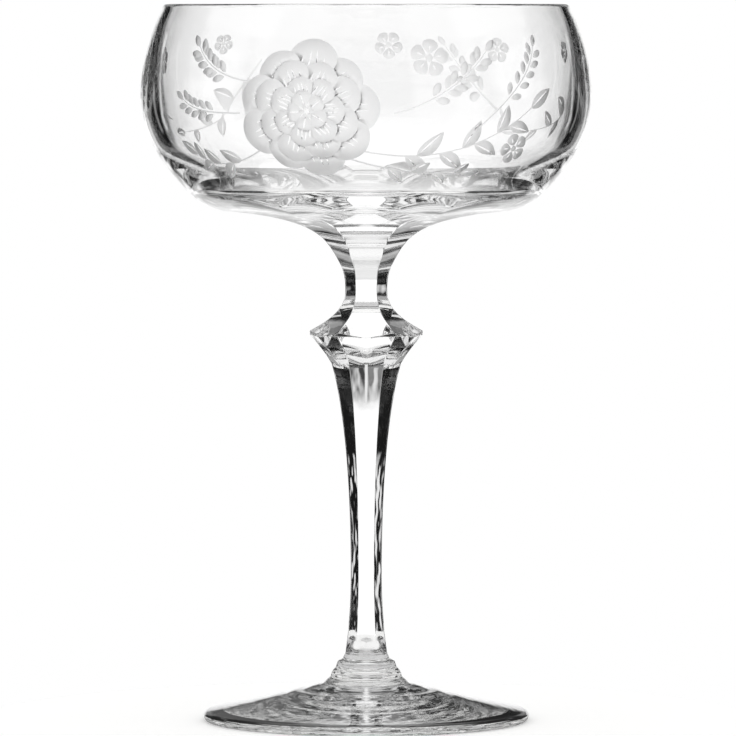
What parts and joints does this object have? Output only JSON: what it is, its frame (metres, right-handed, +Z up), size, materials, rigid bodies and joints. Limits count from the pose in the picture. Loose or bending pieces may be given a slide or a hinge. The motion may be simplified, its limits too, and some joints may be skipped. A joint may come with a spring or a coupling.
{
  "type": "cocktail glass",
  "caption": "Cut crystal cocktail glass: a wide saucer bowl with engraved flowers on a slim faceted stem with a sharp knop, standing on a round foot with a turned collar.",
  "frame": {"origin": "centre of the foot, on the surface that the glass stands on", "axes": "+Z up along the stem, towards the rim; one of the stem's cut faces looks towards -Y, and its corners lie on X"},
  "size_m": [0.1034, 0.1036, 0.165],
  "materials": {
    "bowl_crystal": "polished clear crystal with matt engraving",
    "stem_crystal": "cut and polished clear crystal",
    "foot_crystal": "fire polished clear crystal, ground flat underneath"
  },
  "bodies": {
    "root": {"bowl": "bowl_crystal", "knop": "stem_crystal", "shaft": "stem_crystal", "foot": "foot_crystal"}
  },
  "joints": []
}
